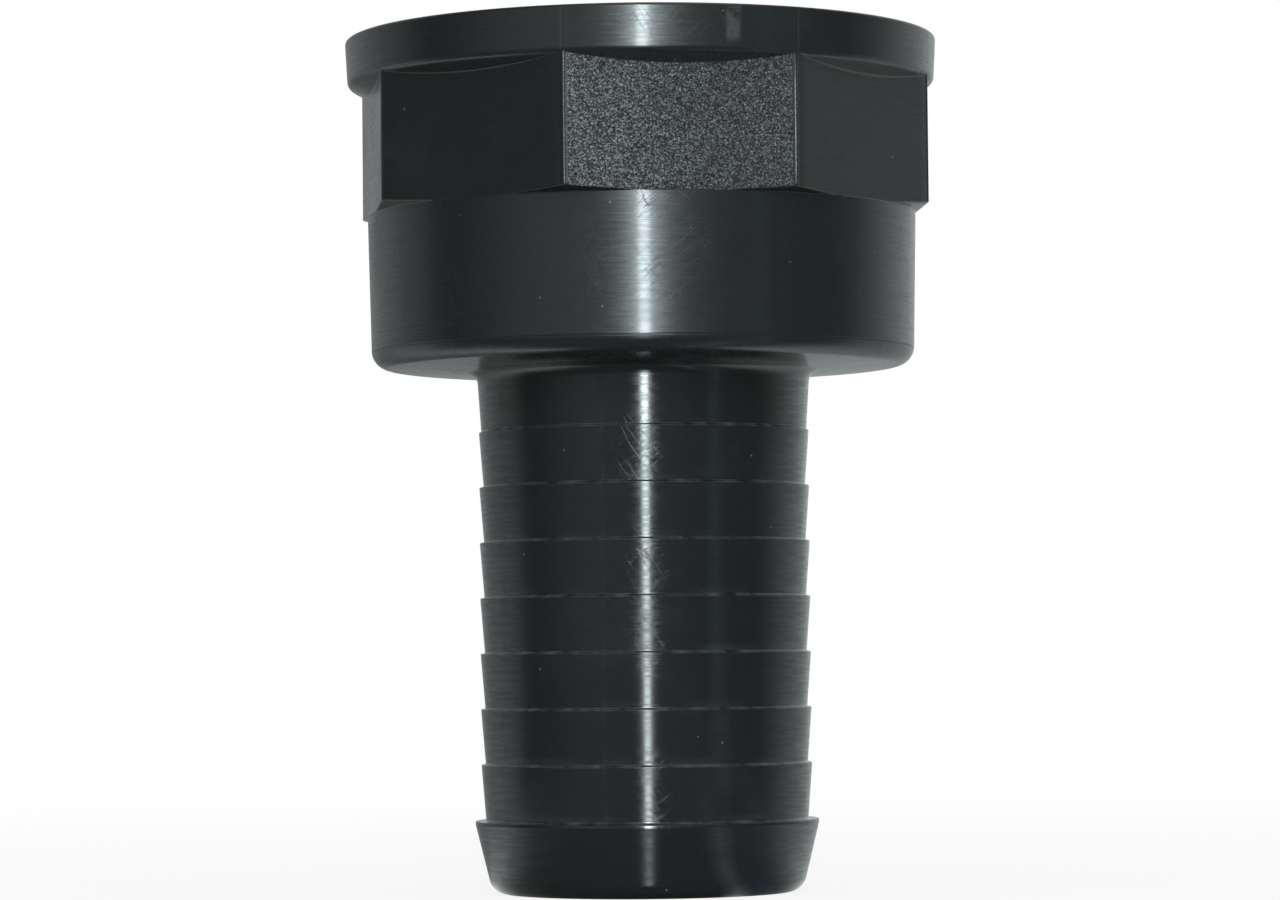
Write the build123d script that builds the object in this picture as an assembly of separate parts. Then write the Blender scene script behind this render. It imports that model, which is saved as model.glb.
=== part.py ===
from build123d import *
import math
import os

# Hose tail connector, moulded in one piece in black polypropylene.
# A threaded socket with a rim and eight wrench flats stands on a barbed tail for a 32 mm hose.
# Sizes are millimetres and angles degrees. The origin is the centre of the tail's end face,
# +Z points up to the socket's mouth, and one of the eight flats faces -Y.

# Overall
tail_length = 53.6
head_height = 34.4

# Rim round the mouth
rim_diameter = 61.2
rim_height = 4.6
rim_draft = 3.0
rim_top_chamfer = 0.3
rim_foot_chamfer = 0.4
rim_underside_angle = 24.0

# Collar with the wrench flats
flat_count = 8
across_flats = 56.0
collar_height = 13.55
collar_underside_angle = 12.0

# Round body below the collar
body_diameter = 56.7
body_draft = 1.25
body_foot_chamfer = 1.25
body_underside_angle = 3.2

# Socket with its thread bored to the crests, a G 1 1/2 female thread of 11 turns to the inch
thread_minor_diameter = 44.85
mouth_diameter = 48.8
socket_depth = 29.1

# Neck between the head and the highest barb
neck_diameter = 34.4
neck_foot_diameter = 33.6
neck_chamfer = 0.9

# Barbs of the tail, each with a sharp crest towards the head and a long taper towards the end
barb_count = 7
barb_pitch = 5.7
first_barb_height = 13.3
crest_diameter = 34.1
root_diameter = 33.2

# Larger barb at the tail's end, with a narrow cylindrical land on its crest
end_barb_height = 7.5
end_barb_diameter = 35.4
end_barb_land = 0.35
end_diameter = 31.9
end_rounding = 1.9

# Waterway through the tail
waterway_diameter = 27.0
waterway_end_chamfer = 0.3
waterway_seat_chamfer = 0.8

# How far a hidden face or a cut runs on past the surface that it joins or opens
beyond = 1.0

total_height = tail_length + head_height
rim_foot_height = total_height - rim_height
shoulder_height = rim_foot_height - collar_height


def slope(angle):
    """Gives the rise for each millimetre of run at an angle from that run."""
    return math.tan(math.radians(angle))


def turned(corners):
    """Revolves a closed outline, whose corners are (diameter, height)."""
    outline = Polyline([(diameter / 2, 0, height) for diameter, height in corners], close=True)
    return revolve(make_face(outline), Axis.Z)


def barb_corners():
    """Gives the corners of all the barbs, from the end barb's land up to the neck's foot."""
    corners = [
        (end_barb_diameter, end_barb_height - end_barb_land),
        (end_barb_diameter, end_barb_height),
        (root_diameter, end_barb_height),
    ]
    for number in range(barb_count):
        height = first_barb_height + number * barb_pitch
        highest = number == barb_count - 1
        corners.append((crest_diameter, height))
        corners.append((neck_foot_diameter if highest else root_diameter, height))
    return corners


def tail_and_body():
    """Makes the barbed tail, the neck and the round body up to the shoulder under the collar."""
    neck_to_foot = (body_diameter - neck_diameter) / 2 - body_foot_chamfer
    foot_height = tail_length + neck_to_foot * slope(body_underside_angle)
    wall_foot_height = foot_height + body_foot_chamfer
    wall_foot_diameter = body_diameter - 2 * (shoulder_height - wall_foot_height) * slope(body_draft)
    neck = [
        (neck_diameter, tail_length - neck_chamfer),
        (neck_diameter + 2 * neck_chamfer, tail_length + neck_chamfer * slope(body_underside_angle)),
    ]
    body = [
        (wall_foot_diameter - 2 * body_foot_chamfer, foot_height),
        (wall_foot_diameter, wall_foot_height),
        (body_diameter, shoulder_height),
        (0, shoulder_height),
    ]
    sharp_ended = turned([(0, 0), (end_diameter, 0)] + barb_corners() + neck + body)
    end_edge = sharp_ended.edges().filter_by(GeomType.CIRCLE).sort_by(Axis.Z)[0]
    return fillet(end_edge, end_rounding)


def collar():
    """Makes the wrench flats, cut at the foot by a shallow cone that spreads from the body."""
    corner_diameter = across_flats / math.cos(math.pi / flat_count)
    blank_diameter = corner_diameter + 2 * beyond
    reach = (blank_diameter - body_diameter) / 2
    cone_height = shoulder_height + reach * slope(collar_underside_angle)
    inside_rim = rim_foot_height + beyond
    blank = turned(
        [
            (0, shoulder_height),
            (body_diameter, shoulder_height),
            (blank_diameter, cone_height),
            (blank_diameter, inside_rim),
            (0, inside_rim),
        ]
    )
    first_corner = 180 / flat_count - 90
    outline = RegularPolygon(across_flats / 2, flat_count, major_radius=False, rotation=first_corner)
    prism = extrude(Pos(0, 0, shoulder_height) * outline, head_height)
    return blank & prism


def rim():
    """Makes the rim, whose underside is a shallow cone that cuts the tops of the flats to arcs."""
    foot_diameter = rim_diameter - 2 * rim_height * slope(rim_draft)
    inner_diameter = across_flats - 2 * beyond
    inner_height = rim_foot_height - (foot_diameter - inner_diameter) / 2 * slope(rim_underside_angle)
    chamfer_height = rim_foot_height - rim_foot_chamfer * slope(rim_underside_angle)
    wall_diameter = foot_diameter + 2 * rim_foot_chamfer * slope(rim_draft)
    sharp_topped = turned(
        [
            (0, inner_height),
            (inner_diameter, inner_height),
            (foot_diameter - 2 * rim_foot_chamfer, chamfer_height),
            (wall_diameter, rim_foot_height + rim_foot_chamfer),
            (rim_diameter, total_height),
            (0, total_height),
        ]
    )
    top_edge = sharp_topped.edges().filter_by(GeomType.CIRCLE).sort_by(Axis.Z)[-1]
    return chamfer(top_edge, rim_top_chamfer)


def hollow():
    """Makes the space inside: the waterway, the seat, the socket and the lead-in at its mouth."""
    seat_height = total_height - socket_depth
    lead_in = (mouth_diameter - thread_minor_diameter) / 2
    return turned(
        [
            (0, -beyond),
            (waterway_diameter + 2 * (waterway_end_chamfer + beyond), -beyond),
            (waterway_diameter, waterway_end_chamfer),
            (waterway_diameter, seat_height - waterway_seat_chamfer),
            (waterway_diameter + 2 * waterway_seat_chamfer, seat_height),
            (thread_minor_diameter, seat_height),
            (thread_minor_diameter, total_height - lead_in),
            (mouth_diameter + 2 * beyond, total_height + beyond),
            (0, total_height + beyond),
        ]
    )


def hose_tail_connector():
    """Joins the head and the tail and hollows them out, as the mould's core does."""
    return tail_and_body() + collar() + rim() - hollow()


os.makedirs("parts", exist_ok=True)
part = hose_tail_connector()
export_step(part, "parts/hose_tail_connector.step")
print("volume", round(part.volume, 1), "valid", part.is_valid, "faces", len(part.faces()))
print("size", part.bounding_box().size)
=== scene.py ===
import math

import bpy
import numpy as np
from mathutils import Matrix, Vector


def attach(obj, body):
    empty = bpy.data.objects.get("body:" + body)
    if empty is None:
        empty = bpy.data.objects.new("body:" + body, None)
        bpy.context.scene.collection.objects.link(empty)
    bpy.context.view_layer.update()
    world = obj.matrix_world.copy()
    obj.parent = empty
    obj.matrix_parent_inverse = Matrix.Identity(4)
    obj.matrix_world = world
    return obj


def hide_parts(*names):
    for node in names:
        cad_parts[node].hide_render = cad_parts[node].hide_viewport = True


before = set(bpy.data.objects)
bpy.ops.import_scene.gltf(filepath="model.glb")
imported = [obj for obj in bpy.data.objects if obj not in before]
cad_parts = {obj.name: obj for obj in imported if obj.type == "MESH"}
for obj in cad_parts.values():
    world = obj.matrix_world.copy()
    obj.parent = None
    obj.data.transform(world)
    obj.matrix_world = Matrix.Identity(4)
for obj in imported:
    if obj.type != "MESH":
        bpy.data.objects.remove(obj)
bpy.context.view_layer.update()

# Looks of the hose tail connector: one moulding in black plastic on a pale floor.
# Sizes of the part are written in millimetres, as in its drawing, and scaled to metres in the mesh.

MM = 0.001

# The part, from the tail's end at height 0 up to the rim
WATERWAY_RADIUS = 13.5
WATERWAY_END_CHAMFER = 0.3
WATERWAY_SEAT_CHAMFER = 0.8
END_RADIUS = 15.95
END_ROUNDING = 1.9
END_BARB_RADIUS = 17.7
END_BARB_HEIGHT = 7.5
END_BARB_LAND = 0.35
BARB_COUNT = 7
BARB_PITCH = 5.7
FIRST_BARB_HEIGHT = 13.3
CREST_RADIUS = 17.05
ROOT_RADIUS = 16.6
NECK_FOOT_RADIUS = 16.8
NECK_RADIUS = 17.2
NECK_ROUNDING = 1.2
UNDERSIDE_HEIGHT = 53.6
UNDERSIDE_ANGLE = 3.2
BODY_RADIUS = 28.35
BODY_DRAFT = 1.25
BODY_FOOT_ROUNDING = 1.9
SHOULDER_HEIGHT = 69.85
SHOULDER_ANGLE = 12.0
FLAT_COUNT = 8
FLAT_DISTANCE = 28.0
FLAT_CORNER_ROUNDING = 0.22
RIM_FOOT_HEIGHT = 83.4
RIM_RADIUS = 30.59
RIM_DRAFT = 3.0
RIM_UNDERSIDE_ANGLE = 24.0
RIM_FOOT_ROUNDING = 0.7
RIM_TOP_ROUNDING = 0.35
TOP_HEIGHT = 88.0
MOUTH_RADIUS = 24.4
SEAT_HEIGHT = 58.9

# G 1 1/2 female thread, right-handed, 11 turns to the inch
THREAD_PITCH = 2.309
THREAD_CREST_RADIUS = 22.425
THREAD_DEPTH = 1.475
THREAD_TRIANGLE = 0.9605 * THREAD_PITCH
THREAD_ROWS_A_TURN = 12
THREAD_EASING = 0.08
PLAIN_WALL_OVER_SEAT = 1.6
RUN_OUT_TURNS = 1.2

# Small roundings of the edges
BORE_EDGE_ROUNDING = 0.1
BORE_END_ROUNDING = 0.06
END_BARB_ROUNDING = 0.5
END_BARB_ROOT_ROUNDING = 0.25
CREST_ROUNDING = 0.1
ROOT_ROUNDING = 0.2
NECK_FOOT_ROUNDING = 0.12
MOUTH_EDGE_ROUNDING = 0.15
SEAT_CORNER_ROUNDING = 0.2

# How the rows and columns of the mesh are spread
BORE_JOIN_HEIGHT = 12.0
COLUMNS_ACROSS_A_FLAT = 21
CORNER_COLUMNS = (0, 0.5, 1, 2.4, 6)
SHOULDER_SHARES = (0.0, 0.12, 0.5, 0.88)
SHOULDER_ROW_STEP = 0.015
UNDER_SHOULDER = 0.06
FLAT_FOOT_STEP = 0.1
FLAT_SHARES = (0.0, 0.012, 0.2, 0.4, 0.6, 0.8, 0.988, 1.0)
RIM_FOOT_ROWS = 14
RIM_FOOT_CROWDING = 1.7
INSIDE_FLAT = 1.0
SOCKET_TOP_STEP = 0.12
SOCKET_FOOT_STEP = 0.25
LEAD_IN_START = 0.5


def slope(degrees):
    """Gives the rise for each millimetre of run."""
    return math.tan(math.radians(degrees))


def towards(start, end):
    """Gives the direction from one point to another, with a length of one."""
    return (end - start) / np.linalg.norm(end - start)


def arc_at(before, corner, after, rounding, steps):
    """Gives the points of an arc that rounds a corner, with more of them on a larger arc."""
    back, on = towards(corner, before), towards(corner, after)
    half = math.acos(np.clip(back @ on, -1, 1)) / 2
    middle = corner + (back + on) / np.linalg.norm(back + on) * rounding / math.sin(half)
    first = corner + back * rounding / math.tan(half) - middle
    last = corner + on * rounding / math.tan(half) - middle
    turn = math.acos(np.clip(first @ last / rounding ** 2, -1, 1))
    count = max(3, round(steps * turn / (math.pi / 2) * (1 + rounding / 2)))
    points = []
    for step in range(count + 1):
        to_first = math.sin((1 - step / count) * turn) / math.sin(turn)
        to_last = math.sin(step / count * turn) / math.sin(turn)
        points.append(middle + to_first * first + to_last * last)
    return points


def rounded(corners, steps=5, longest=3.0):
    """Turns corners of (radius, height, rounding) into a profile of arcs and of short straight runs."""
    places = [np.array(corner[:2], float) for corner in corners]
    points = [places[0]]
    for number in range(1, len(corners) - 1):
        arc = arc_at(*places[number - 1:number + 2], corners[number][2], steps)
        runs = math.ceil(np.linalg.norm(arc[0] - points[-1]) / longest)
        for run in range(1, runs):
            points.append(points[-1] + (arc[0] - points[-1]) / (runs - run + 1))
        points += arc
    return points + [places[-1]]


def column_angles():
    """Spaces the columns of the mesh round the axis, close together at the corners of the flats."""
    octant = 2 * math.pi / FLAT_COUNT
    tangent = math.atan((FLAT_DISTANCE - FLAT_CORNER_ROUNDING) * math.tan(octant / 2) / FLAT_DISTANCE)
    edge = octant / 2 - tangent
    near_corner = [edge * share for share in CORNER_COLUMNS]
    last = octant / 2 - near_corner[-1]
    across = np.linspace(-last, last, COLUMNS_ACROSS_A_FLAT + 2)[1:-1]
    one = sorted([a - octant / 2 for a in near_corner] + list(across)
                 + [octant / 2 - a for a in near_corner[1:]])
    middles = [-math.pi / 2 + octant * number for number in range(FLAT_COUNT)]
    return np.array([middle + angle for middle in middles for angle in one])


def flats_radius(angles):
    """Gives the distance from the axis to the octagon of flats, whose corners are rounded a little."""
    octant = 2 * math.pi / FLAT_COUNT
    from_middle = np.abs((angles + math.pi / 2 + octant / 2) % octant - octant / 2)
    straight = FLAT_DISTANCE / np.cos(from_middle)
    centre = (FLAT_DISTANCE - FLAT_CORNER_ROUNDING) / math.cos(octant / 2)
    off = octant / 2 - from_middle
    inside = FLAT_CORNER_ROUNDING ** 2 - (centre * np.sin(off)) ** 2
    arc = centre * np.cos(off) + np.sqrt(np.maximum(inside, 0))
    return np.where(inside > 0, np.minimum(straight, arc), straight)


def rim_foot_curve():
    """Follows the rim's underside cone and its rounded lower edge, from inside out."""
    foot_radius = RIM_RADIUS - (TOP_HEIGHT - RIM_FOOT_HEIGHT) * slope(RIM_DRAFT)
    inner = FLAT_DISTANCE - INSIDE_FLAT
    corners = [
        (inner, RIM_FOOT_HEIGHT - (foot_radius - inner) * slope(RIM_UNDERSIDE_ANGLE), 0),
        (foot_radius, RIM_FOOT_HEIGHT, RIM_FOOT_ROUNDING),
        (RIM_RADIUS, TOP_HEIGHT, 0),
    ]
    curve = np.array(rounded(corners, steps=24, longest=0.2)[:-1])
    first_share_of_wall = 0.02
    wall = curve[-1] + (np.array([RIM_RADIUS, TOP_HEIGHT]) - curve[-1]) * first_share_of_wall
    return np.vstack([curve, wall])


def collar_rows(angles):
    """Gives the rows of the flats, from the shoulder up to the rim's rounded lower edge."""
    rows = []
    radius = flats_radius(angles)
    ledge = radius - BODY_RADIUS
    for step, share in enumerate(SHOULDER_SHARES):
        rise = np.maximum(ledge, 0) * share * slope(SHOULDER_ANGLE)
        rows.append((BODY_RADIUS + ledge * share, SHOULDER_HEIGHT + rise + SHOULDER_ROW_STEP * step))
    foot = SHOULDER_HEIGHT + np.maximum(ledge, 0) * slope(SHOULDER_ANGLE) + FLAT_FOOT_STEP
    curve = rim_foot_curve()
    top = np.interp(radius, curve[:, 0], curve[:, 1])
    for share in FLAT_SHARES:
        rows.append((radius, foot + (top - foot) * share))
    lengths = np.concatenate([[0], np.cumsum(np.linalg.norm(np.diff(curve, axis=0), axis=1))])
    start = np.interp(radius, curve[:, 0], lengths)
    for step in range(1, RIM_FOOT_ROWS + 1):
        along = lengths[-1] - (lengths[-1] - start) * (1 - step / RIM_FOOT_ROWS) ** RIM_FOOT_CROWDING
        rows.append((np.interp(along, lengths, curve[:, 0]), np.interp(along, lengths, curve[:, 1])))
    return rows


def thread_radius(angles, height):
    """Gives the socket's radius at a height: the 55 degree thread, cut away by the lead-in."""
    turns = height / THREAD_PITCH - angles / (2 * math.pi)
    wave = np.abs(2 * (turns % 1) - 1)
    sharp = wave * THREAD_TRIANGLE - (THREAD_TRIANGLE - THREAD_DEPTH) / 2
    share = np.clip(sharp / THREAD_DEPTH, 0, 1)
    eased = share - THREAD_EASING * np.sin(2 * math.pi * share)
    run_out = (height - SEAT_HEIGHT - PLAIN_WALL_OVER_SEAT) / (RUN_OUT_TURNS * THREAD_PITCH)
    run_out = np.clip(run_out, 0, 1)
    lead_in = MOUTH_RADIUS - (TOP_HEIGHT - height)
    return np.maximum(THREAD_CREST_RADIUS + THREAD_DEPTH * eased * run_out, lead_in)


def socket_rows(angles):
    """Gives the rows of the threaded socket, from its mouth down to its seat."""
    rows = []
    high, low = TOP_HEIGHT - SOCKET_TOP_STEP, SEAT_HEIGHT + SOCKET_FOOT_STEP
    count = round((high - low) / THREAD_PITCH * THREAD_ROWS_A_TURN)
    for height in np.linspace(high, low, count):
        rows.append((thread_radius(angles, height), height))
    return rows


def tail_corners():
    """Gives the corners from the waterway's end, round the barbs and the neck, up to the shoulder."""
    corners = [
        (WATERWAY_RADIUS, BORE_JOIN_HEIGHT, 0),
        (WATERWAY_RADIUS, WATERWAY_END_CHAMFER, BORE_EDGE_ROUNDING),
        (WATERWAY_RADIUS + WATERWAY_END_CHAMFER, 0, BORE_END_ROUNDING),
        (END_RADIUS, 0, END_ROUNDING),
        (END_BARB_RADIUS, END_BARB_HEIGHT - END_BARB_LAND, END_BARB_ROUNDING),
        (END_BARB_RADIUS, END_BARB_HEIGHT, CREST_ROUNDING),
        (ROOT_RADIUS, END_BARB_HEIGHT, END_BARB_ROOT_ROUNDING),
    ]
    for number in range(BARB_COUNT):
        height = FIRST_BARB_HEIGHT + number * BARB_PITCH
        corners.append((CREST_RADIUS, height, CREST_ROUNDING))
        if number < BARB_COUNT - 1:
            corners.append((ROOT_RADIUS, height, ROOT_ROUNDING))
        else:
            corners.append((NECK_FOOT_RADIUS, height, NECK_FOOT_ROUNDING))
    neck_slope = slope(UNDERSIDE_ANGLE)
    wall_slope = slope(BODY_DRAFT)
    run = BODY_RADIUS - (SHOULDER_HEIGHT - UNDERSIDE_HEIGHT + NECK_RADIUS * neck_slope) * wall_slope
    foot_radius = run / (1 - neck_slope * wall_slope)
    foot_height = UNDERSIDE_HEIGHT + (foot_radius - NECK_RADIUS) * neck_slope
    return corners + [
        (NECK_RADIUS, UNDERSIDE_HEIGHT, NECK_ROUNDING),
        (foot_radius, foot_height, BODY_FOOT_ROUNDING),
        (BODY_RADIUS - UNDER_SHOULDER * wall_slope, SHOULDER_HEIGHT - UNDER_SHOULDER, 0),
    ]


def rim_top_corners():
    """Gives the corners of the rim's wall and top face, up to the edge of the socket's mouth."""
    half_of_wall = (TOP_HEIGHT - RIM_FOOT_HEIGHT) / 2
    return [
        (RIM_RADIUS - half_of_wall * slope(RIM_DRAFT), TOP_HEIGHT - half_of_wall, 0),
        (RIM_RADIUS, TOP_HEIGHT, RIM_TOP_ROUNDING),
        (MOUTH_RADIUS, TOP_HEIGHT, MOUTH_EDGE_ROUNDING),
        (MOUTH_RADIUS - LEAD_IN_START, TOP_HEIGHT - LEAD_IN_START, 0),
    ]


def bottom_of_socket_corners():
    """Gives the corners of the socket's seat and the top of the waterway."""
    return [
        (THREAD_CREST_RADIUS, SEAT_HEIGHT + 2 * SOCKET_FOOT_STEP, 0),
        (THREAD_CREST_RADIUS, SEAT_HEIGHT, SEAT_CORNER_ROUNDING),
        (WATERWAY_RADIUS + WATERWAY_SEAT_CHAMFER, SEAT_HEIGHT, BORE_EDGE_ROUNDING),
        (WATERWAY_RADIUS, SEAT_HEIGHT - WATERWAY_SEAT_CHAMFER, BORE_EDGE_ROUNDING),
        (WATERWAY_RADIUS, BORE_JOIN_HEIGHT, 0),
    ]


def connector_rows():
    """Gives all the rows, each with the angles of its columns: crowded at the flats' corners outside."""
    outer_angles = column_angles()
    columns = len(outer_angles)
    inner_angles = outer_angles[0] + 2 * math.pi * np.arange(columns) / columns
    middle_of_top = (RIM_RADIUS + MOUTH_RADIUS) / 2
    rim_rows = rounded(rim_top_corners())[:-1]
    outer_rows = rounded(tail_corners())[1:] + collar_rows(outer_angles)
    outer_rows += [row for row in rim_rows if row[0] > middle_of_top]
    inner_rows = [row for row in rim_rows if row[0] <= middle_of_top] + socket_rows(inner_angles)
    inner_rows += rounded(bottom_of_socket_corners())[1:]
    return [(outer_angles, *row) for row in outer_rows] + [(inner_angles, *row) for row in inner_rows]


def connector_mesh():
    """Builds the whole moulding as one closed mesh of rows up the profile and columns round it."""
    rows = connector_rows()
    columns = len(rows[0][0])
    points = np.empty((len(rows), columns, 3))
    for number, (angles, radius, height) in enumerate(rows):
        points[number, :, 0] = radius * np.cos(angles)
        points[number, :, 1] = radius * np.sin(angles)
        points[number, :, 2] = height
    down = np.arange(len(rows))[:, None]
    round_axis = np.arange(columns)[None, :]
    next_down = (down + 1) % len(rows)
    next_round = (round_axis + 1) % columns
    faces = np.stack([
        down * columns + round_axis,
        down * columns + next_round,
        next_down * columns + next_round,
        next_down * columns + round_axis,
    ], axis=-1).reshape(-1, 4)
    mesh = bpy.data.meshes.new("hose_tail_connector_moulding")
    mesh.from_pydata((points.reshape(-1, 3) * MM).tolist(), [], faces.tolist())
    mesh.update()
    mesh.shade_smooth()
    return mesh


class Wire:
    """One output socket of a shader. Arithmetic on it adds Math nodes to the same shader."""

    def __init__(self, bench, socket):
        self.bench = bench
        self.socket = socket

    def maths(self, operation, *others):
        return self.bench.maths(operation, self, *others)

    def __add__(self, other):
        return self.maths("ADD", other)

    def __sub__(self, other):
        return self.maths("SUBTRACT", other)

    def __mul__(self, other):
        return self.maths("MULTIPLY", other)

    def __truediv__(self, other):
        return self.maths("DIVIDE", other)

    def __pow__(self, other):
        return self.maths("POWER", other)

    def __neg__(self):
        return self.maths("MULTIPLY", -1.0)

    def __abs__(self):
        return self.maths("ABSOLUTE")

    def __gt__(self, other):
        return self.maths("GREATER_THAN", other)

    def __lt__(self, other):
        return self.maths("LESS_THAN", other)

    def __rsub__(self, other):
        return self.bench.maths("SUBTRACT", other, self)

    def __rtruediv__(self, other):
        return self.bench.maths("DIVIDE", other, self)

    __radd__ = __add__
    __rmul__ = __mul__

    def eased(self, low, high, start=0.0, end=1.0):
        """Runs smoothly from start to end while this value runs from low to high."""
        inputs = {"Value": self, "From Min": low, "From Max": high, "To Min": start, "To Max": end}
        return self.bench.node("ShaderNodeMapRange", {"interpolation_type": "SMOOTHSTEP"}, inputs)


def set_stops(ramp, stops):
    """Gives a ramp its stops, each a position and a level."""
    while len(ramp.elements) > 1:
        ramp.elements.remove(ramp.elements[-1])
    for number, (position, level) in enumerate(stops):
        stop = ramp.elements[0] if number == 0 else ramp.elements.new(position)
        stop.position = position
        stop.color = (level, level, level, 1)


# The Mix node has a pair of inputs for each kind of value, and these are its colours
MIXED_COLOURS = (6, 7)
MIX_RESULT = 2


class Bench:
    """Puts together the nodes of one material or world."""

    def __init__(self, owner):
        owner.use_nodes = True
        self.tree = owner.node_tree
        self.tree.nodes.clear()

    def node(self, kind, settings=None, inputs=None, output=0):
        """Adds a node: its settings come first, then the values or links of its sockets."""
        made = self.tree.nodes.new(kind)
        for name, value in (settings or {}).items():
            if name == "stops":
                set_stops(made.color_ramp, value)
            else:
                setattr(made, name, value)
        pairs = inputs.items() if isinstance(inputs, dict) else enumerate(inputs or [])
        for name, value in pairs:
            if isinstance(value, Wire):
                self.tree.links.new(value.socket, made.inputs[name])
            else:
                made.inputs[name].default_value = value
        return Wire(self, made.outputs[output]) if made.outputs else None

    def maths(self, operation, *values):
        return self.node("ShaderNodeMath", {"operation": operation}, values)

    def vectors(self, operation, *values, output="Vector"):
        return self.node("ShaderNodeVectorMath", {"operation": operation}, values, output)

    def part_point(self):
        """Gives the place in the part's frame, in metres."""
        return self.node("ShaderNodeTexCoord", output="Object")

    def axes(self, vector):
        split = self.node("ShaderNodeSeparateXYZ", inputs=[vector])
        return [Wire(self, socket) for socket in split.socket.node.outputs]

    def joined(self, x, y, z):
        return self.node("ShaderNodeCombineXYZ", inputs=[x, y, z])

    def dot(self, vector, direction):
        return self.vectors("DOT_PRODUCT", vector, tuple(direction), output="Value")

    def noise(self, vector, scale, detail=2.0, roughness=0.5):
        inputs = {"Vector": vector, "Scale": scale, "Detail": detail, "Roughness": roughness}
        return self.node("ShaderNodeTexNoise", None, inputs)

    def cells(self, vector, scale, output):
        inputs = {"Vector": vector, "Scale": scale}
        return self.node("ShaderNodeTexVoronoi", {"feature": "F1"}, inputs, output)

    def blended(self, factor, first, second):
        """Mixes two colours."""
        inputs = {"Factor": factor}
        for name, colour in zip(MIXED_COLOURS, (first, second)):
            inputs[name] = colour if isinstance(colour, Wire) else (*colour, 1)
        return self.node("ShaderNodeMix", {"data_type": "RGBA"}, inputs, MIX_RESULT)

    def output(self, kind, shader):
        self.node(kind, None, {"Surface": shader})


# The camera's place, with its turns as pixels of the photo over the focal length
CAMERA_AZIMUTH = -8.0
CAMERA_DISTANCE = 0.493
CAMERA_HEIGHT = 0.0243
PHOTO_WIDTH = 1280
FOCAL_PIXELS = 4770.0
CAMERA_TIPPED_UP = 206.0 / FOCAL_PIXELS
CAMERA_TURNED_RIGHT = -3.9 / FOCAL_PIXELS
CAMERA_ROLL = 0.0095
turn = math.radians(CAMERA_AZIMUTH)
to_camera = Vector((math.sin(turn), -math.cos(turn), 0))
to_right = Vector((math.cos(turn), math.sin(turn), 0))
upright = Vector((0, 0, 1))


def set_camera():
    """Stands the camera a little above the floor, in front of the part and tipped up slightly."""
    data = bpy.data.cameras.new("camera")
    data.sensor_width = 36.0
    data.lens = FOCAL_PIXELS / PHOTO_WIDTH * data.sensor_width
    data.clip_start = 0.05
    camera = bpy.data.objects.new("camera", data)
    bpy.context.scene.collection.objects.link(camera)
    level = (-to_camera + to_right * math.tan(CAMERA_TURNED_RIGHT)).normalized()
    ahead = level * math.cos(CAMERA_TIPPED_UP) + upright * math.sin(CAMERA_TIPPED_UP)
    right = ahead.cross(upright).normalized()
    up = right.cross(ahead)
    rolled_up = up * math.cos(CAMERA_ROLL) + right * math.sin(CAMERA_ROLL)
    rolled_right = right * math.cos(CAMERA_ROLL) - up * math.sin(CAMERA_ROLL)
    turned = Matrix((rolled_right, rolled_up, -ahead)).transposed().to_4x4()
    place = to_camera * CAMERA_DISTANCE + upright * CAMERA_HEIGHT
    camera.matrix_world = Matrix.Translation(place) @ turned
    bpy.context.scene.camera = camera


def studio_stops(levels):
    """Turns levels by angle from the camera's side into ramp stops over the cosine of that angle."""
    return [((1 - math.cos(math.radians(angle))) / 2, level) for angle, level in levels]


def studio_level(bench, direction, left_levels, right_levels):
    """Gives what the gloss mirrors from each side, by the angle from the camera's side."""
    behind = (1 - bench.dot(direction, to_camera)) / 2
    side = bench.dot(direction, to_right).eased(-0.2, 0.2)
    left = bench.node("ShaderNodeValToRGB", {"stops": studio_stops(left_levels)}, [behind])
    right = bench.node("ShaderNodeValToRGB", {"stops": studio_stops(right_levels)}, [behind])
    return left + (right - left) * side


# Colours of the studio's light
WHITE = (1.0, 1.0, 1.0)
STUDIO_TINT = (0.94, 1.01, 1.01)
WINDOW_BLUE = (0.70, 1.0, 1.28)


def cool_tint(bench, direction):
    """Gives the colour of what the gloss mirrors: nearly neutral, with a blue window to the right."""
    behind = (1 - bench.dot(direction, to_camera)) / 2
    side = bench.dot(direction, to_right).eased(0.1, 0.3)
    window = behind.eased(0.105, 0.14) * behind.eased(0.225, 0.195) * side
    return bench.blended(window, STUDIO_TINT, WINDOW_BLUE)


def light_paths(bench):
    """Tells the camera's own rays and the rays of gloss and of see-through from the rest."""
    path = bench.node("ShaderNodeLightPath")
    rays = {socket.name: Wire(bench, socket) for socket in path.socket.node.outputs}
    return rays["Is Camera Ray"], rays["Is Glossy Ray"] + rays["Is Transmission Ray"]


# What the gloss mirrors of the studio: pairs of an angle from the camera's side and a level
WALLS_TO_THE_LEFT = [(0, 0.16), (20, 0.32), (35, 0.40), (50, 0.32), (64, 0.16), (74, 0.06), (86, 0.0),
                     (95, 0.04), (102, 0.19), (108, 0.25), (118, 0.31), (130, 0.35), (150, 0.33),
                     (165, 0.32), (180, 0.36)]
WALLS_TO_THE_RIGHT = [(0, 0.16), (20, 0.26), (36, 0.14), (44, 0.10), (50, 0.27), (56, 0.08), (88, 0.03),
                      (97, 0.10), (105, 0.25), (112, 0.36), (120, 0.47), (130, 0.54), (140, 0.58),
                      (156, 0.62), (180, 0.62)]
FAR_FLOOR_TO_THE_LEFT = [(0, 0.04), (55, 0.05), (82, 0.08), (90, 0.2), (97, 0.50), (108, 0.62),
                         (120, 0.54), (135, 0.28), (150, 0.12), (165, 0.09), (180, 0.14)]
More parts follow.
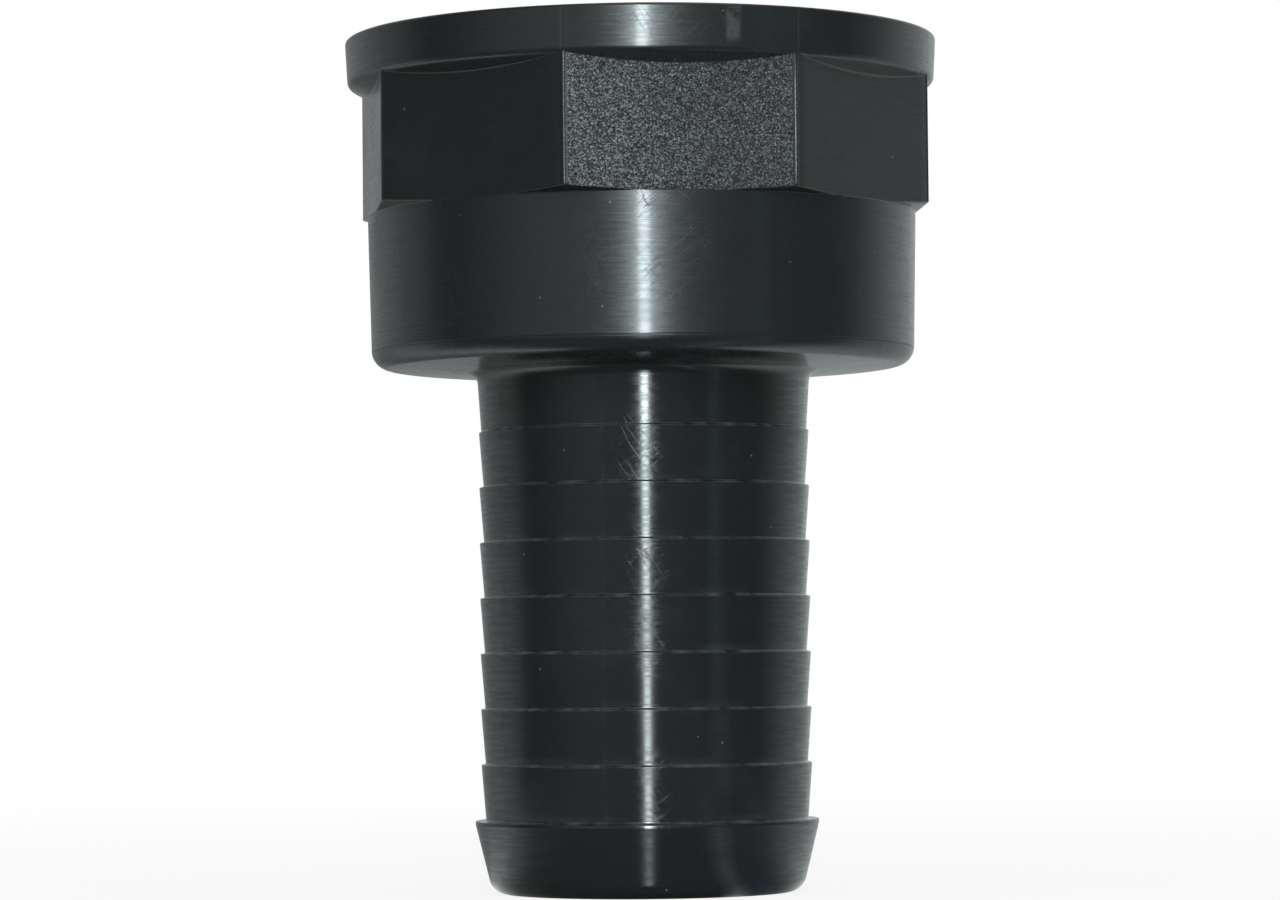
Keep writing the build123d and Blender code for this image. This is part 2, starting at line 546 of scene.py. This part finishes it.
FAR_FLOOR_TO_THE_RIGHT = [(0, 0.04), (42, 0.06), (50, 0.34), (58, 0.06), (83, 0.10), (90, 0.26),
                          (99, 0.44), (109, 0.54), (121, 0.52), (137, 0.40), (155, 0.32), (180, 0.26)]
NEAR_FLOOR_TO_THE_LEFT = [(0, 0.05), (40, 0.07), (60, 0.22), (76, 0.66), (88, 1.0), (108, 0.75),
                          (122, 0.34), (140, 0.14), (160, 0.12), (180, 0.14)]
NEAR_FLOOR_TO_THE_RIGHT = [(0, 0.04), (28, 0.06), (36, 0.5), (44, 0.12), (60, 0.16), (76, 0.5),
                           (90, 0.75), (115, 0.7), (150, 0.45), (180, 0.3)]


def set_world():
    """Makes a studio that is white to the camera and dark in front of the part in its gloss."""
    world = bpy.data.worlds.new("studio")
    bpy.context.scene.world = world
    bench = Bench(world)
    direction = bench.node("ShaderNodeTexCoord", output="Generated")
    mirrored = studio_level(bench, direction, WALLS_TO_THE_LEFT, WALLS_TO_THE_RIGHT)
    seen, gloss = light_paths(bench)
    plain = 0.55
    level = plain + (mirrored - plain) * gloss
    strength = level + (1 - level) * seen
    tint = bench.blended(gloss, WHITE, cool_tint(bench, direction))
    light = bench.node("ShaderNodeBackground", None, {"Color": tint, "Strength": strength})
    bench.output("ShaderNodeOutputWorld", light)
    world.cycles.sampling_method = 'NONE'


def pale_floor():
    """Mixes a floor that is white to the camera, keeps a shadow, and glows softly in the gloss."""
    material = bpy.data.materials.new("pale_floor")
    bench = Bench(material)
    point = bench.part_point()
    seen, gloss = light_paths(bench)
    direction = bench.vectors("NORMALIZE", point)
    reach = bench.vectors("LENGTH", point, output="Value")

    far = studio_level(bench, direction, FAR_FLOOR_TO_THE_LEFT, FAR_FLOOR_TO_THE_RIGHT)
    near = studio_level(bench, direction, NEAR_FLOOR_TO_THE_LEFT, NEAR_FLOOR_TO_THE_RIGHT)
    near_until, far_from = 0.035, 0.11
    mirrored = near + (far - near) * reach.eased(near_until, far_from)
    tint = bench.blended(gloss, WHITE, cool_tint(bench, direction))
    glow = bench.node("ShaderNodeEmission", None, {"Color": tint, "Strength": seen + gloss * mirrored})
    sheen = bench.node("ShaderNodeBsdfAnisotropic", None, {"Color": (*WHITE, 1), "Roughness": 0.16})
    grazing = bench.node("ShaderNodeFresnel", None, {"IOR": 1.65})
    mirrored_floor = bench.node("ShaderNodeMixShader", None, [grazing, glow, sheen])

    tone = bench.noise(point, scale=3.0).eased(0.3, 0.7, start=0.80, end=0.84)
    lit = bench.node("ShaderNodeBsdfDiffuse", None, {"Color": bench.joined(tone, tone, tone)})
    part_until, white_from = 0.03, 0.4
    white_share = reach.eased(part_until, white_from, start=0.87)
    plain_floor = bench.node("ShaderNodeMixShader", None, [seen * white_share, lit, glow])
    mixed = bench.node("ShaderNodeMixShader", None, [gloss, plain_floor, mirrored_floor])
    bench.output("ShaderNodeOutputMaterial", mixed)
    material.cycles.emission_sampling = 'NONE'
    return material


def lay_floor():
    """Lays a large pale floor under the part."""
    half = 3.0
    corners = [(-half, -half, 0), (half, -half, 0), (half, half, 0), (-half, half, 0)]
    mesh = bpy.data.meshes.new("floor")
    mesh.from_pydata(corners, [], [(0, 1, 2, 3)])
    mesh.materials.append(pale_floor())
    floor = bpy.data.objects.new("floor", mesh)
    bpy.context.scene.collection.objects.link(floor)


def hang_lamp(name, place, target, width, height, radiance, tint=WHITE):
    """Hangs a flat soft lamp that the camera doesn't see."""
    data = bpy.data.lights.new(name, 'AREA')
    data.shape = 'RECTANGLE'
    data.size = width
    data.size_y = height
    data.energy = math.pi * width * height * radiance
    data.color = tint
    lamp = bpy.data.objects.new(name, data)
    bpy.context.scene.collection.objects.link(lamp)
    aim = (target - place).normalized()
    across = aim.cross(upright).normalized()
    top = across.cross(aim)
    lamp.matrix_world = Matrix.Translation(place) @ Matrix((across, top, -aim)).transposed().to_4x4()
    lamp.visible_camera = False


def around(azimuth, distance, height):
    """Gives a place round the part: the azimuth counts from the camera, to the right in its view."""
    angle = math.radians(azimuth)
    return (to_camera * math.cos(angle) + to_right * math.sin(angle)) * distance + upright * height


def set_lamps():
    """Sets a tall narrow strip by the camera and a broad soft lamp overhead."""
    strip_height = 0.40
    hang_lamp(
        "strip_lamp", place=around(azimuth=0.8, distance=0.56, height=strip_height / 2),
        target=upright * strip_height / 2, width=0.040, height=strip_height, radiance=38.0,
        tint=(0.87, 1.0, 1.02))
    middle_of_part = upright * 0.04
    hang_lamp(
        "overhead_lamp", place=around(azimuth=40, distance=0.25, height=1.2),
        target=middle_of_part, width=0.9, height=0.9, radiance=0.8)


# Colours of the plastic, of the marks on it, and of the highlights, reflections and glints painted on it
PLASTIC_DARK = (0.0108, 0.0120, 0.0126)
PLASTIC_LIGHT = (0.0148, 0.0158, 0.0162)
SMEAR_GREY = (0.022, 0.027, 0.027)
# A painted reflection as a paler band over each of the barbs' crests
ROOT_SHEEN_GREY = (0.034, 0.038, 0.040)
# A painted highlight along the barbs' crests
CREST_HIGHLIGHT_GREY = (0.130, 0.138, 0.140)
DUST_GREY = (0.16, 0.16, 0.155)
# The grain's specks, brightened as painted glints
GRAIN_GLINT_GREY = (0.300, 0.318, 0.326)
WITNESS_GREY = (0.055, 0.060, 0.062)
STREAK_GREY = (0.052, 0.056, 0.056)

# Where the marks and the painted light lie on the part, in millimetres, with each soft edge as a pair of
# places
TAIL_TOP = (53.5, 53.0)
FLAT_TOLERANCE = 0.02
GRAIN_HALF_WIDTH = 11.52
# A painted highlight along the grain's left edge, and where its painted sheen fades to the right
GRAIN_EDGE_HIGHLIGHT = (-11.36, -11.48)
GRAIN_SHEEN_FADES = (-11.7, 6.0)
WITNESS_PLACE = 11.80
WITNESS_WIDTH = (0.06, 0.02)
WITNESS_FRONT = -27.5
SPLIT_LINE_FOOT = (55.62, 55.70)
SPLIT_LINE_TOP = (55.88, 55.80)
STREAK_PLACE = 5.0
STREAK_WIDTH = (1.0, 0.4)
STREAK_FRONT = -29.2
STREAK_FOOT = (83.8, 85.0)
BARBS_FOOT = (7.1, 7.3)
BARBS_TOP = (47.8, 47.7)


class Spot:
    """A spot on the moulding: its place in metres and in millimetres, and what it belongs to."""

    def __init__(self, bench):
        self.bench = bench
        self.point = bench.part_point()
        x, y, z = bench.axes(self.point)
        self.metres = (x, y, z)
        self.x, self.y, self.z = x / MM, y / MM, z / MM
        self.angle = bench.maths("ARCTAN2", y, x)
        self.facing = bench.node("ShaderNodeNewGeometry", output="Normal")
        leant_from, upright_from = 0.45, 0.3
        self.wall = abs(bench.axes(self.facing)[2]).eased(leant_from, upright_from)
        self.tail = self.z.eased(*TAIL_TOP)
        on_flat = bench.maths("COMPARE", self.y, -FLAT_DISTANCE, FLAT_TOLERANCE)
        over_shoulder = self.z > SHOULDER_HEIGHT
        self.grained = on_flat * over_shoulder * (abs(self.x) < GRAIN_HALF_WIDTH)
        self.smooth = 1 - self.grained

    def wrapped(self, waver, start=0.0, depth=0.0, rise=1.0):
        """Gives a point for noise that is drawn out round the axis, the more the smaller the waver."""
        return self.bench.joined(self.angle * waver + start, depth, self.metres[2] * rise)


def hairlines(spot, lean, closeness):
    """Draws sparse thin straight scratches that lean to one side."""
    bench = spot.bench
    drawn_out, out_of_plane = 0.035, 0.3
    rotation = (0.0, math.radians(lean), math.radians(out_of_plane * lean))
    inputs = {"Vector": spot.point, "Rotation": rotation}
    leant = bench.node("ShaderNodeVectorRotate", {"rotation_type": 'EULER_XYZ'}, inputs)
    across, depth, along = bench.axes(leant)
    ridge = bench.noise(bench.joined(across, depth, along * drawn_out), closeness, detail=1.0)
    return abs(ridge - 0.5).eased(0.012, 0.004)


def handling_scratches(spot):
    """Crosses hairlines in two directions, thick where the part was handled."""
    crossed = hairlines(spot, lean=35.0, closeness=900.0) + hairlines(spot, lean=-52.0, closeness=1100.0)
    handled = spot.bench.noise(spot.point, scale=130.0).eased(0.42, 0.7)
    return crossed * handled * spot.smooth


def pale_dust(spot):
    """Scatters small pale specks, in loose groups."""
    dots = spot.bench.cells(spot.point, scale=520.0, output="Distance").eased(0.075, 0.04)
    groups = spot.bench.noise(spot.point, scale=210.0, detail=1.0).eased(0.60, 0.66)
    return dots * groups * spot.smooth


def barb_highlights(spot):
    """Gives a painted highlight along the barbs' crests, and a painted reflection as a paler band over
    each crest.
    """
    bench = spot.bench
    over_crest = 0.03
    below = bench.maths("FRACT", (FIRST_BARB_HEIGHT - spot.z) / BARB_PITCH + over_crest)
    on_barbs = spot.z.eased(*BARBS_FOOT) * spot.z.eased(*BARBS_TOP)
    crest_point = spot.wrapped(0.017, depth=0.7, rise=0.4)
    broken = bench.noise(crest_point, scale=420.0, detail=3.0, roughness=0.6).eased(0.3, 0.85)
    patchy = bench.noise(spot.wrapped(0.016, depth=0.2, rise=0.5), scale=110.0).eased(0.45, 0.65)
    # Painted highlight along each crest, broken in places
    rubbed = below.eased(0.065, 0.04) * on_barbs * broken
    # Painted reflection: a paler band just over each crest, in patches
    band = below.eased(0.84, 0.98) * on_barbs * patchy
    return rubbed, band


def grain_glints(spot, grain):
    """Gives the grain's specks brightened as painted glints, with a painted sheen brighter on the left
    and a painted highlight on its left edge.
    """
    cell_tone = spot.bench.axes(spot.bench.cells(spot.point, scale=6800.0, output="Color"))[0]
    contrast = 3.4
    specks = (cell_tone * 0.55 + grain.eased(0.3, 0.7) * 0.6) ** contrast
    # Painted sheen, brighter on the left, and a painted highlight along the left edge
    painted_sheen = 1.25 - spot.x.eased(*GRAIN_SHEEN_FADES) * 0.55
    return specks * painted_sheen + spot.x.eased(*GRAIN_EDGE_HIGHLIGHT) * 0.4


def witness_lines(spot):
    """Gives the fine upright lines on the rim over both corners of the front flat."""
    line = abs(abs(spot.x) - WITNESS_PLACE).eased(*WITNESS_WIDTH)
    return line * (spot.y < WITNESS_FRONT) * (spot.z > RIM_FOOT_HEIGHT) * spot.wall


def pale_streak(spot):
    """Gives a pale upright streak down the front of the rim, broken by noise."""
    streak = abs(spot.x - STREAK_PLACE).eased(*STREAK_WIDTH) * (spot.y < STREAK_FRONT)
    thin = spot.bench.noise(spot.point, scale=700.0, detail=3.0, roughness=0.6).eased(0.3, 0.6)
    return streak * spot.z.eased(*STREAK_FOOT) * spot.wall * thin


class Marks:
    """What the moulding and the handling left on the plastic, and the painted highlight and reflection
    on the barbs.
    """

    def __init__(self, spot):
        bench = spot.bench
        self.turning = bench.noise(spot.wrapped(0.0008), scale=3400.0, detail=3.0, roughness=0.75)
        self.turned_lines = self.turning.eased(0.43, 0.56) * (0.3 + spot.tail * 0.7) * spot.wall
        self.scratches = handling_scratches(spot)
        self.dust = pale_dust(spot)
        self.smear = bench.noise(spot.point, scale=75.0, detail=4.0, roughness=0.6).eased(0.55, 0.75)
        self.rubbed, self.root_sheen = barb_highlights(spot)
        self.grain = bench.noise(spot.point, scale=5600.0, detail=3.0, roughness=0.7)
        self.split_line = spot.z.eased(*SPLIT_LINE_FOOT) * spot.z.eased(*SPLIT_LINE_TOP)


def plastic_colour(spot, marks):
    """Lays the marks and the painted light over the black of the plastic, each by the share of it that
    shows.
    """
    bench = spot.bench
    layers = [
        (marks.smear * 0.35, SMEAR_GREY),
        # painted reflection over the barbs' crests
        (marks.root_sheen * 0.5, ROOT_SHEEN_GREY),
        # painted highlight on the barbs' crests
        (marks.rubbed * 0.6, CREST_HIGHLIGHT_GREY),
        (marks.dust * 0.7, DUST_GREY),
        # the grain's pattern, brightened as painted glints and sheen
        (grain_glints(spot, marks.grain) * spot.grained, GRAIN_GLINT_GREY),
        (witness_lines(spot) * 0.5, WITNESS_GREY),
        (pale_streak(spot) * 0.9, STREAK_GREY),
    ]
    cloud = bench.noise(spot.point, scale=60.0, detail=3.0)
    colour = bench.blended(cloud, PLASTIC_DARK, PLASTIC_LIGHT)
    for share, grey in layers:
        colour = bench.blended(share, colour, grey)
    return colour


def plastic_roughness(spot, marks):
    """Gives the roughness, which is lowest on the tail and higher on the grain and along the marks."""
    satin = spot.bench.noise(spot.point, scale=900.0, detail=3.0) - 0.5
    plain = 0.26 - spot.tail * 0.155 + satin * 0.06
    lines = marks.turned_lines * (0.09 - spot.tail * 0.04)
    return plain + spot.grained * 0.14 + marks.scratches * 0.12 + marks.smear * 0.05 + lines


def plastic_gloss(spot, marks):
    """Gives the weight of the glossy coat, which the marks dull and the grain lacks."""
    lines = marks.turned_lines * 0.32 + marks.scratches * 0.2
    return spot.smooth * (0.42 - spot.tail * 0.1 - lines - marks.smear * 0.08 - marks.split_line * 0.3)


def plastic_relief(spot, marks):
    """Gives the height of the grain, the turned lines and the marks, in millimetres."""
    texture = marks.grain * spot.grained * 0.26 + marks.turning * spot.tail * 0.0008
    return texture + marks.scratches * 0.003 + marks.dust * 0.01 - marks.split_line * 0.03


def swayed_normal(spot):
    """Lets the surface wander from line to line, which frays the edges of a highlight."""
    bench = spot.bench
    x, y = spot.metres[:2]
    line_point = spot.wrapped(0.0010, start=0.4, depth=0.3)
    wander = bench.noise(line_point, scale=7500.0, detail=2.0, roughness=0.6) - 0.5
    sway = wander * (0.085 - spot.tail * 0.073) * spot.smooth * spot.wall
    around_axis = bench.vectors("NORMALIZE", bench.joined(-y, x, 0.0))
    inputs = {"Vector": around_axis, "Scale": sway}
    pushed = bench.node("ShaderNodeVectorMath", {"operation": "SCALE"}, inputs)
    return bench.vectors("NORMALIZE", bench.vectors("ADD", spot.facing, pushed))


def black_plastic():
    """Mixes the moulded black plastic with the marks on it."""
    material = bpy.data.materials.new("black_plastic")
    bench = Bench(material)
    spot = Spot(bench)
    marks = Marks(spot)
    bumped = bench.node("ShaderNodeBump", None, {
        "Strength": 1.0,
        "Distance": MM,
        "Height": plastic_relief(spot, marks),
        "Normal": swayed_normal(spot),
    })
    shader = bench.node("ShaderNodeBsdfPrincipled", None, {
        "Base Color": plastic_colour(spot, marks),
        "Roughness": plastic_roughness(spot, marks),
        "Specular IOR Level": 0.5,
        "Normal": bumped,
        "Coat Weight": plastic_gloss(spot, marks),
        "Coat Roughness": 0.11,
    })
    bench.output("ShaderNodeOutputMaterial", shader)
    return material


def make_connector():
    """Puts the finished moulding in the place of the CAD node."""
    mesh = connector_mesh()
    mesh.materials.append(black_plastic())
    piece = bpy.data.objects.new("hose_tail_connector_moulding", mesh)
    bpy.context.scene.collection.objects.link(piece)
    even = piece.modifiers.new("even_shading", 'WEIGHTED_NORMAL')
    even.weight = 50
    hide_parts("hose_tail_connector")
    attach(piece, "root")


bpy.context.scene.view_settings.view_transform = 'Standard'
make_connector()
set_camera()
set_world()
lay_floor()
set_lamps()
